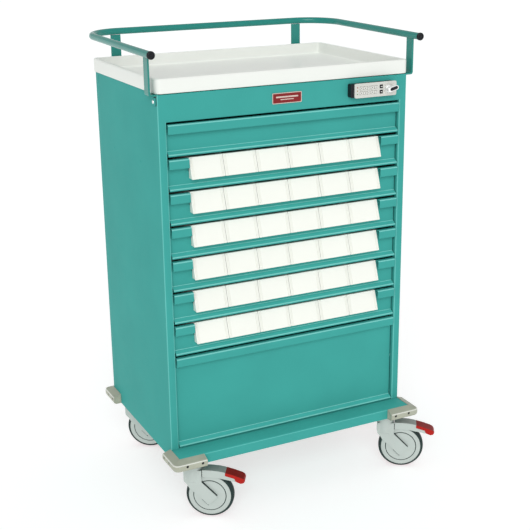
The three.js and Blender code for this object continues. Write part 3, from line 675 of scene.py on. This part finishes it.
def bumper(name, corner, inward_x, inward_y):
    """L-shaped moulding round a corner of the base, with stepped ends, a pale strip along its ridge as a
    painted highlight, and sunk screws.
    """
    low, high = node_box(name)
    middle = (low.z + high.z) / 2
    height = high.z - low.z
    depth = max(high.x, -low.x) - HALF_W
    leg_x = high.x - low.x - depth
    leg_y = high.y - low.y - depth

    def ring(kind, value, section):
        """The section at a place on one leg, or at an angle round the corner."""
        points = []
        for reach, up in section:
            if kind == "x":
                spot = (value, -reach)
            elif kind == "y":
                spot = (-reach, value)
            else:
                spot = (-reach * math.sin(value) ** SQUARENESS, -reach * math.cos(value) ** SQUARENESS)
            points.append((corner[0] + inward_x * spot[0], corner[1] + inward_y * spot[1], middle + up))
        return points

    def sweep(section):
        return [ring("arc", math.pi / 2 * k / CORNER_STEPS, section) for k in range(CORNER_STEPS + 1)]

    # A pale strip along the ridge, painted as its highlight.
    ridge = [(depth + out, up - height / 2) for out, up in RIDGE_HIGHLIGHT_SECTION]
    strip = [ring("x", leg_x - RIDGE_HIGHLIGHT_SHORT, ridge)] + sweep(ridge) + [ring("y", leg_y - RIDGE_HIGHLIGHT_SHORT, ridge)]
    piece(f"{name}_ridge", loft(strip), BUMPER_RIDGE_HIGHLIGHT_PAINT, smooth=50)

    rings = [ring("x", leg_x - back, bumper_section(depth, height, scale)) for back, scale in LEG_END]
    rings += sweep(bumper_section(depth, height, 1.0))
    rings += [ring("y", leg_y - back, bumper_section(depth, height, scale)) for back, scale in LEG_END[::-1]]
    screws = [((corner[0] + inward_x * along, corner[1] - inward_y * depth, middle), (0, -inward_y, 0))
              for along in SCREWS_X]
    screws += [((corner[0] - inward_x * depth, corner[1] + inward_y * along, middle), (-inward_x, 0, 0))
               for along in SCREWS_Y]
    holes = [screw_hole(spot, outward) for spot, outward in screws]
    piece(f"{name}_moulding", combined(loft(rings), holes), BUMPER, smooth=50,
          stands_for=[name])
    for k, (spot, outward) in enumerate(screws):
        piece(f"{name}_screw_{k + 1}", sunk_screw(), BLACK, at=onto(spot, outward))


def screw_hole(spot, outward):
    """A round hole into a bumper's face, drawn in the cabinet's frame."""
    axis = "x" if outward[0] else "y"
    way = outward[0] + outward[1]
    start, end = sorted((-HOLE_DEPTH * way, 2 * way))
    return moved(cylinder(HOLE_R, start, end, 20, axis), x=spot[0], y=spot[1], z=spot[2])


def sunk_screw():
    """A dark screw that fills its hole to just under the face."""
    rim = HOLE_R - 0.1
    return turned([(0, -3.9), (rim, -3.9), (rim, -0.9), (2.2, -0.4), (0, -0.4)], 20)


def bumpers():
    base_front = node_box("base_frame")[0].y
    for end, corner_y, inward_y in (("front", base_front, 1), ("rear", DEPTH, -1)):
        for side, sign in (("left", -1), ("right", 1)):
            bumper(f"{end}_{side}_bumper", (sign * HALF_W, corner_y), -sign, inward_y)


# ---------------------------------------------------------------- drawers and bins

TOP_GAP = 5
BOTTOM_GAP = 1.4
LIP_PROUD = 3
LIP_HEIGHT = 21.5
LIP_HEM = 8
PANEL_SETBACK = 10
PANEL_BACK = PANEL_SETBACK + SHEET
FRONT_BEND = 1.3
FLARE = 10.4
FOOT_SETBACK = 1
FOOT_HEIGHT = 2.5
NOTCH_HALF = 242
BIN_REST = 34
BOX_HALF = 278
BOX_SHEET = 1.2
BOX_WALL, DEEP_BOX_WALL = 54, 186
RUNNER_Z, DEEP_RUNNER_Z = 30, 96  # over the bottom of the drawer's module
RUNNER_FRONT = 22
RUNNER_HALF = 5.3
RUNNER_WIDTH = 9.6
DRAWERS = 8                       # the last one is the deep one
BINS = 6
BIN_PITCH = 80
BIN_FACE = 46
BIN_TOP_SETBACK = 8
BIN_BOTTOM_PROUD = 8
BIN_WALL = 1.5
GROOVE_HALF = 0.6
GROOVE_SPOTS = (3.2, 6.2)         # in from each edge of a bin's label face


def front_profile(lower, upper):
    """A drawer front from the side: a flared foot, the panel and a folded lip."""
    return [(PANEL_BACK, lower), (FOOT_SETBACK, lower), (FOOT_SETBACK, lower + FOOT_HEIGHT),
            (PANEL_BACK, lower + FLARE - SHEET), (PANEL_BACK, upper), (-LIP_PROUD, upper),
            (-LIP_PROUD, upper - LIP_HEIGHT), (-LIP_PROUD + LIP_HEM, upper - LIP_HEIGHT)]


def block(x0, x1, y0, y1, z0, z1):
    return prism([(x0, y0), (x1, y0), (x1, y1), (x0, y1)], z0, z1, "z")


def open_box(x0, x1, y0, y1, z0, z1, wall, radius):
    """A thin-walled box without a lid."""
    def ring(inset, z):
        return [(u, v, z) for u, v in rectangle(x0 + inset, x1 - inset, y0 + inset, y1 - inset,
                                                max(radius - inset, 0.2), 4)]
    lip = wall / 2
    profile = [(0.4, z0), (0, z0 + 0.4), (0, z1 - lip * 0.6), (lip * 0.4, z1), (wall - lip * 0.4, z1),
               (wall, z1 - lip * 0.6), (wall, z0 + wall + 0.8), (wall + 0.8, z0 + wall)]
    return loft([ring(inset, z) for inset, z in profile])


def runner(side, y0, y1, z):
    """The drawer's half of a slide: a channel rolled from strip."""
    low, high = z - RUNNER_HALF, z + RUNNER_HALF
    outer, inner = BOX_HALF + RUNNER_WIDTH, BOX_HALF + GAP
    bends = [(outer, low + 3), (outer, low), (inner, low), (inner, high), (outer, high), (outer, high - 3)]
    shape = prism(folded(bends, 1.1, 0.8, 3)[::-1], y0, y1, "y")
    return shape if side == "right" else mirrored(shape)


def drawer(index, one_bin):
    """Front, box and two runners, and a row of bins where the drawer has them."""
    name = f"drawer_{index}"
    body = f"{name}_body"
    low, high = node_box(name)
    floor = low.z + SHEET
    has_bins = f"{name}_bins" in nodes
    deep = index == DRAWERS
    half = min(-low.x, high.x)
    shape = prism(folded(front_profile(floor, high.z), inside=FRONT_BEND), -half, half, "x")
    if has_bins:
        top = high.z + TOP_GAP
        shape = combined(shape, [block(-NOTCH_HALF, NOTCH_HALF, -20, 20, top - BIN_REST, top)])
    # The front's upward and sideways folds carry painted highlights.
    piece(f"{name}_front", shape, TEAL, body=body, edge=0.35, stands_for=[name],
          folds=PAINTED_FOLD_HIGHLIGHT)
    wall_top = floor + (DEEP_BOX_WALL if deep else BOX_WALL)
    box = open_box(-BOX_HALF, BOX_HALF, PANEL_BACK, high.y, floor, wall_top, BOX_SHEET, 1.5)
    piece(f"{name}_box", box, TEAL, body=body)
    runner_z = low.z - BOTTOM_GAP + (DEEP_RUNNER_Z if deep else RUNNER_Z)
    for side in ("left", "right"):
        piece(f"{name}_{side}_runner", runner(side, RUNNER_FRONT, high.y, runner_z), STEEL, body=body,
              edge=0.2)
    if has_bins:
        bin_row(name, body, one_bin)


def bin_shape(height, back):
    """One bin: an open box hung behind a sloping label front with rounded lower corners."""
    half = BIN_PITCH / 2 - 0.6
    hook = PANEL_SETBACK - 0.6
    inside = PANEL_BACK + 1
    bottom = height - BIN_FACE
    wedge = prism([(-BIN_BOTTOM_PROUD, bottom), (hook, bottom), (hook, height),
                   (BIN_TOP_SETBACK, height)], -half, half, "x")
    outline = rounded([(-half, bottom), (half, bottom), (half, height + 9), (-half, height + 9)],
                      [1.0, 1.0, 0, 0], 3)
    wedge = combined(wedge, [prism(outline, -30, 30, "y")], "INTERSECT")
    slope = (BIN_TOP_SETBACK + BIN_BOTTOM_PROUD) / BIN_FACE

    def face_y(z):
        return BIN_TOP_SETBACK - (height - z) * slope

    grooves = []
    for side in (-1, 1):
        for spot in GROOVE_SPOTS:
            x = side * (half - spot)
            line = rectangle(x - GROOVE_HALF, x + GROOVE_HALF, bottom + 1.5, height + 2, 0.2, 1)
            grooves.append(loft([[(u, face_y(v) + d, v) for u, v in line] for d in (-2, 1.2)]))
    wedge = combined(wedge, grooves)
    hollow = open_box(-half, half, inside, back, 0, height, BIN_WALL, 4)
    bridge = block(-half + 0.5, half - 0.5, hook - 1, inside + 1, height - 12, height)
    return combined(wedge, [hollow, bridge], "UNION")


def bin_row(name, body, one_bin):
    low = node_box(f"{name}_bins")[0]
    for k in range(BINS):
        x = low.x + (k + 0.5) * BIN_PITCH
        obj = piece(f"{name}_bin_{k + 1}", moved(one_bin, x=x, z=low.z), BIN_WHITE, body=body,
                    edge=0.3, smooth=30)
        if k == 0:
            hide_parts(f"{name}_bins")


# ---------------------------------------------------------------- lock and badge

DIGITS = [f"key_{k}" for k in range(10)]
FUNCTIONS = ["clear_key", "enter_key"]
MARK_PROUD, MARK_SUNK = 0.08, 0.3
LAMP_PITCH = 7.5
LAMP_INSET = 7
WING_HALF, WING_TAIL, WING_TIP = 5.4, -9, 19.5
WING_TILT = -14
INLAY_TAIL, INLAY_TIP = -2.6, 17.1
BADGE_BORDER = 1.6


def key_mark(name, half_width, half_height, radius, material):
    """A small plain mark on the middle of a key's face."""
    low, high = node_box(name)
    outline = rectangle(-half_width, half_width, -half_height, half_height, radius, 2)
    mark = prism(outline, low.y - MARK_PROUD, low.y + MARK_SUNK, "y")
    piece(f"{name}_mark", moved(mark, x=(low.x + high.x) / 2, z=(low.z + high.z) / 2), material,
          body=f"{name}_body")


def lock():
    dress("lock_housing", BLACK, 1.4)
    dress("lock_face", SILVER, 0.5)
    for name in DIGITS:
        dress(name, KEY_SILVER, 0.6)
    for name in FUNCTIONS:
        dress(name, BLACK, 0.6)
    for name in DIGITS:
        key_mark(name, 0.8, 1.4, 0.5, BLACK)
    for name in FUNCTIONS:
        key_mark(name, 2, 0.8, 0.4, KEY_SILVER)
    low, high = node_box("lock_face")
    for k, material in enumerate(LAMPS):
        spot = (low.x + LAMP_INSET, low.y, (low.z + high.z) / 2 + LAMP_PITCH * (1 - k))
        piece(f"lock_lamp_{k + 1}", dome(1.5, 0.7, 3, 14), material, at=onto(spot, (0, -1, 0)))
    knob()


def knob():
    """Thumb turn: a round boss, a long wing with a dark inlay, and the spindle that lifts the lock bar."""
    body = "lock_knob_body"
    pivot = joint_place("lock_knob_turn")
    low, high = node_box("lock_knob")
    back = node_box("lock_face")[0].y - GAP
    wing_back = back - 6
    straight = CABINET @ Matrix.Translation((pivot.x, 0, pivot.z))
    tilted = straight @ Matrix.Rotation(math.radians(WING_TILT), 4, "Y")
    wing = prism(rectangle(WING_TAIL, WING_TIP, -WING_HALF, WING_HALF, 5.2, 8), low.y, wing_back, "y")
    groove = prism(rectangle(-3, 17.5, -3.6, 3.6, 3.5, 6), low.y - 1, low.y + 2.2, "y")
    piece("thumb_turn", combined(wing, [groove]), BRIGHT, body=body, at=tilted, edge=0.7,
          stands_for=["lock_knob"])
    boss = [(0, back), (9.2, back), (9.2, back - 3), (8.2, wing_back), (6, back - 6.6), (0, back - 6.6)]
    piece("thumb_turn_boss", turned(boss, 36, "y"), BRIGHT, body=body, at=tilted,
          edge=0.3)
    inlay = prism(rectangle(INLAY_TAIL, INLAY_TIP, -3.2, 3.2, 3.1, 6), low.y + 0.8, low.y + 2.4, "y")
    piece("thumb_turn_inlay", inlay, BLACK, body=body, at=tilted, edge=0.3)
    spindle = cylinder(SPINDLE_R, back - 1, high.y - 9, 20, "y")
    disc = cylinder(12, 8.5, 11.5, 32, "y")
    pin = moved(cylinder(2, 10, high.y, 16, "y"), x=8)
    piece("lock_spindle", merged(spindle, disc, pin), STEEL, body=body, at=straight,
          edge=0.3)


def badge():
    """Enamelled plate with a raised border and two plain bars."""
    low, high = node_box("name_badge")

    def plate(inset_x, inset_low, inset_high, radius, front, back):
        outline = rectangle(low.x + inset_x, high.x - inset_x, low.z + inset_low, high.z - inset_high, radius)
        return prism(outline, low.y + front, low.y + back, "y")

    border, face = BADGE_BORDER, BADGE_BORDER + 0.1
    rim = combined(plate(0, 0, 0, 2.2, 0, high.y - low.y), [plate(border, border, border, 1.4, -1, 0.6)])
    piece("badge_border", rim, BADGE_RIM, edge=0.3, stands_for=["name_badge"])
    piece("badge_face", plate(face, face, face, 1.4, 0.3, 0.9), BADGE, edge=0.2)
    half = (high.z - low.z) / 2
    for k, (inset, bottom, top) in enumerate([(9, 1.0, 4.2), (20, -4.0, -2.0)]):
        piece(f"badge_bar_{k + 1}", plate(inset, half + bottom, half - top, 0.9, 0.05, 0.5), BADGE_RIM,
              edge=0.1)


# ---------------------------------------------------------------- casters

TRAIL = 40                        # from the swivel axis to the axle
WHEEL_R = 56.5
WHEEL_HALF = 12
RIM_R = 49.5
GROOVE_R = 38.2
# Half width of the dark ring that paints the shade in a groove.
GROOVE_SHADE_HALF = 1.05
CHEEK = 17.3                      # half the fork's width, and half the gap inside it
INNER = 12.6
WELL_R = WHEEL_R + 2.2
COLLAR_R = 21
STEM_R = 14
STEM_Z = 142
AXLE_R = 5.6
LEVER_HALF = 15.2
PAD_HALF_WIDTH = LEVER_HALF + 0.6


def caster_frame(name):
    """Local frame of a caster: x along the trail, y along the axle, z up, origin under the stem."""
    stem = Vector(joints[f"{name}_caster_swivel"]["pos_m"])
    axle = Vector(joints[f"{name}_wheel_roll"]["axis"])
    trail = Vector((axle.y, -axle.x, 0))
    turn = Matrix((trail, axle, (0, 0, 1))).transposed().to_4x4()
    return Matrix.Translation((stem.x, stem.y, 0)) @ turn @ Matrix.Scale(MM, 4)


def on_axle(shape):
    return moved(shape, x=TRAIL, z=WHEEL_R)


def both_sides(half):
    """A wheel's profile from its near half."""
    return half + [(r, -h) for r, h in half[::-1]]


def wheel(name, at):
    """Rim with a ring groove on each face, a dark ring sunk in each groove as painted shade, and the tread.
    """
    body = f"{name}_wheel_body"
    near = -WHEEL_HALF
    rim = [(RIM_R, near + 0.6), (RIM_R - 0.8, near), (GROOVE_R + 1.1, near), (GROOVE_R + 0.9, near + 2.2),
           (GROOVE_R - 0.9, near + 2.2), (GROOVE_R - 1.1, near - 0.5), (20, near - 0.5), (12, near),
           (6, near)]
    piece(f"{name}_wheel_rim", on_axle(turned(both_sides(rim), 64, "y")), CASTER, body=body,
          at=at, smooth=40, stands_for=[f"{name}_wheel"])
    # Dark rings in the grooves: painted shade.
    inner, outer = GROOVE_R - GROOVE_SHADE_HALF, GROOVE_R + GROOVE_SHADE_HALF
    for hand, sign in (("inner", 1), ("outer", -1)):
        deep, shallow = sign * (WHEEL_HALF - 2.6), sign * (WHEEL_HALF - 0.9)
        painted_groove_shade = [(inner, deep), (outer, deep), (outer, shallow), (inner, shallow)]
        piece(f"{name}_{hand}_seal", on_axle(turned(painted_groove_shade, 64, "y")), TREAD, body=body,
              at=at)
    tread = [(RIM_R - 3, near + 1.4), (RIM_R, near + 0.9), (RIM_R + 1.2, near + 0.7)]
    tread += [(WHEEL_R - 7 + 7 * math.sin(a), near + 8.2 - 7.5 * math.cos(a))
              for a in [math.radians(15 * k) for k in range(1, 6)]]
    tread.append((WHEEL_R, -2.5))
    piece(f"{name}_tread", on_axle(turned(both_sides(tread), 72, "y")), TREAD, body=body,
          at=at, smooth=50)


def wheel_well():
    """The space that the wheel turns in."""
    return on_axle(cylinder(WELL_R, -INNER, INNER, 64, "y"))


def fork(name, at):
    """Round collar over two slanted cheeks, with thin dark strips along the cheeks' edges as painted shadow
    lines, the stem and the axle.
    """
    body = f"{name}_caster"
    cheek = rounded([(-COLLAR_R + 1, 122), (-COLLAR_R + 1, 94), (-11, 84), (-7, 76), (21.6, 49.5), (38, 32),
                     (59, 55), (22, 92), (22, 122)], [0, 3, 6, 3, 4, 5, 4, 3, 0], 5)
    collar = [(0, 93), (COLLAR_R - 1.5, 93), (COLLAR_R, 94.5), (COLLAR_R, 136), (COLLAR_R - 0.8, 136.8),
              (COLLAR_R - 0.8, 138), (COLLAR_R + 0.6, 138.6), (COLLAR_R + 0.6, 141.5),
              (COLLAR_R - 0.5, 142.8), (0, 142.8)]
    housing = combined(turned(collar, 48), [prism(cheek, -CHEEK, CHEEK, "y")], "UNION")
    housing = combined(housing, [wheel_well()])
    piece(f"{name}_fork", housing, CASTER, body=body, at=at, edge=0.9, smooth=35,
          stands_for=[f"{name}_caster_fork"])
    # These dark strips, named seams, are painted shadow lines along the cheeks' edges, where the cheeks stand
    # off the wheel.
    edges = [((22.6, 93.5), (58, 58), 0.6), ((21.8, 48.4), (37, 32.2), -0.6)]
    for k, (start, end, width) in enumerate(edges):
        a, b = Vector(start), Vector(end)
        along = (b - a).normalized()
        wide = Vector((along.y, -along.x)) * width
        strip = [tuple(point) for point in (a - wide, b - wide * 0.3, b + wide * 0.3, a + wide)]
        for hand, sign in (("outer", -1), ("inner", 1)):
            seam = prism(strip, sign * (INNER + 0.4), sign * (CHEEK - 0.6), "y")
            piece(f"{name}_{hand}_seam_{k + 1}", seam, TREAD, body=body, at=at)
    piece(f"{name}_stem", cylinder(STEM_R, STEM_Z, STEM_Z + 20, 32), STEEL, body=body,
          at=at, edge=0.5)
    pin = on_axle(cylinder(AXLE_R, -CHEEK + 0.5, CHEEK - 0.5, 24, "y"))
    piece(f"{name}_axle", pin, STEEL, body=body, at=at, edge=0.3)


def pedal(name, at):
    """Brake lever, hollow underneath and clear of the wheel, with a red pad over its tip."""
    body = f"{name}_pedal"
    top = [(76, 118.6), (60, 121.6), (42, 122.8), (23.5, 122.8)]
    lever = rounded([(23.5, 105), (59, 103.5), (86, 98.5), (101, 95), (101, 103), (92, 109)] + top,
                    [1, 6, 6, 2, 2, 6, 4, 8, 8, 1], 4)
    under = prism([(20, 90), (58, 90), (92, 84), (92, 101), (76, 110.5), (62, 114), (62, 117), (20, 117)],
                  -INNER, INNER, "y")
    shape = combined(prism(lever, -LEVER_HALF, LEVER_HALF, "y"), [wheel_well(), under])
    piece(f"{name}_brake_lever", shape, CASTER, body=body, at=at, edge=1.2, smooth=35,
          stands_for=[f"{name}_brake_pedal"])
    pad = rounded([(77, 110), (99, 103.6), (101.5, 96.5), (113, 91.3), (121, 92.8), (124, 98), (120.5, 103),
                   (113, 106.8), (95, 113), (77.5, 117.8)], [1, 3, 1.5, 5, 4, 4, 4, 8, 12, 1], 5)
    side = PAD_HALF_WIDTH
    plan = rounded([(70, -side), (124.5, -side), (124.5, side), (70, side)], [0, 9, 9, 0], 6)
    pad_shape = combined(prism(pad, -side, side, "y"), [prism(plan, 80, 130, "z")], "INTERSECT")
    piece(f"{name}_brake_pad", pad_shape, RED, body=body, at=at, edge=3.2, smooth=35)


def casters():
    for end in ("front", "rear"):
        for side in ("left", "right"):
            name = f"{end}_{side}"
            at = caster_frame(name)
            wheel(name, at)
            fork(name, at)
            if end == "front":
                pedal(name, at)


# ---------------------------------------------------------------- build

for wall_side in ("left", "right"):
    side_wall(wall_side)
    side_post(wall_side)
back_wall()
fascia()
base()
rivets()
work_tray()
guard_rail()
bumpers()
bin_low, bin_high = node_box("drawer_2_bins")
bin_solid = bin_shape(bin_high.z - bin_low.z, bin_high.y)
for number in range(1, DRAWERS + 1):
    drawer(number, bin_solid)
lock()
badge()
casters()
dress("top_panel", TEAL)
for post in ("rear_left_rail_post", "rear_right_rail_post"):
    dress(post, RAIL_TEAL, 0.8)
for inner in ("left_slide_plate", "right_slide_plate", "lock_bar"):
    dress(inner, STEEL, 0.2)


# ---------------------------------------------------------------- floor, light and camera

FLOOR_REACH = 300                 # metres
FLOOR_COLOUR = (0.50, 0.71, 0.69, 1)
FLOOR_GLOW = (0.63, 0.475, 0.49, 1)
WALL_GLOW = 1.05
CEILING_GLOW = 0.58
WALL_TOP, CEILING_EDGE = 0.10, 0.20  # sines of the elevations between which the glow fades
CAMERA_PLACE = (-1117.9, -2132.6, 1350.6)
YAW, PITCH, ROLL = 26.317, 17.909, -0.680
LENS, SENSOR = 74.12, 36


def plain_floor():
    """A white floor. Its glow makes up for the cart's own colour, so that the shadow stays grey."""
    r = FLOOR_REACH
    mesh = raw_mesh("floor", ([(-r, -r, 0), (r, -r, 0), (r, r, 0), (-r, r, 0)], [(0, 1, 2, 3)]))
    floor = bpy.data.objects.new("floor", mesh)
    bpy.context.scene.collection.objects.link(floor)
    paint = bpy.data.materials.new("floor_paint")
    paint.use_nodes = True
    shader = paint.node_tree.nodes["Principled BSDF"]
    shader.inputs["Base Color"].default_value = FLOOR_COLOUR
    shader.inputs["Roughness"].default_value = 0.9
    shader.inputs["Specular IOR Level"].default_value = 0.0
    shader.inputs["Emission Color"].default_value = FLOOR_GLOW
    shader.inputs["Emission Strength"].default_value = 1.0
    mesh.materials.append(paint)


def sun(name, azimuth, elevation, strength, spread):
    """Light from a compass direction round the cart: azimuth 0 is in front, 90 is on its left."""
    lamp = bpy.data.lights.new(name, "SUN")
    lamp.energy = strength
    lamp.angle = math.radians(spread)
    obj = bpy.data.objects.new(name, lamp)
    a, e = math.radians(azimuth), math.radians(elevation)
    towards = Vector((-math.sin(a) * math.cos(e), -math.cos(a) * math.cos(e), math.sin(e)))
    obj.rotation_euler = towards.to_track_quat("Z", "Y").to_euler()
    bpy.context.scene.collection.objects.link(obj)


def studio():
    """A white room, brighter low down round the cart than overhead, and one large soft lamp."""
    world = bpy.data.worlds.new("studio")
    bpy.context.scene.world = world
    world.use_nodes = True
    tree = world.node_tree
    tree.nodes["Background"].inputs["Color"].default_value = (1, 1, 1, 1)
    place = tree.nodes.new("ShaderNodeTexCoord")
    parts = tree.nodes.new("ShaderNodeSeparateXYZ")
    tree.links.new(place.outputs["Generated"], parts.inputs["Vector"])
    fade = tree.nodes.new("ShaderNodeMapRange")
    fade.inputs["From Min"].default_value = WALL_TOP
    fade.inputs["From Max"].default_value = CEILING_EDGE
    fade.inputs["To Min"].default_value = WALL_GLOW
    fade.inputs["To Max"].default_value = CEILING_GLOW
    tree.links.new(parts.outputs["Z"], fade.inputs["Value"])
    tree.links.new(fade.outputs["Result"], tree.nodes["Background"].inputs["Strength"])
    sun("key", azimuth=27, elevation=30, strength=1.42, spread=36)
    view = bpy.context.scene.view_settings
    view.view_transform = "Standard"
    view.look = "None"


def camera():
    """Placed in the cabinet's frame, in millimetres, and turned in degrees from looking along y."""
    yaw, pitch, roll = math.radians(YAW), math.radians(PITCH), math.radians(ROLL)
    ahead = Vector((math.sin(yaw) * math.cos(pitch), math.cos(yaw) * math.cos(pitch), -math.sin(pitch)))
    right = Vector((math.cos(yaw), -math.sin(yaw), 0))
    up = right.cross(ahead)
    rolled_right = math.cos(roll) * right + math.sin(roll) * up
    rolled_up = -math.sin(roll) * right + math.cos(roll) * up
    lens = bpy.data.cameras.new("camera")
    lens.lens = LENS
    lens.sensor_width = SENSOR
    lens.clip_end = 1000
    obj = bpy.data.objects.new("camera", lens)
    turn = Matrix((rolled_right, rolled_up, -ahead)).transposed().to_4x4()
    obj.matrix_world = Matrix.Translation(CABINET @ Vector(CAMERA_PLACE)) @ turn
    bpy.context.scene.collection.objects.link(obj)
    bpy.context.scene.camera = obj


plain_floor()
studio()
camera()
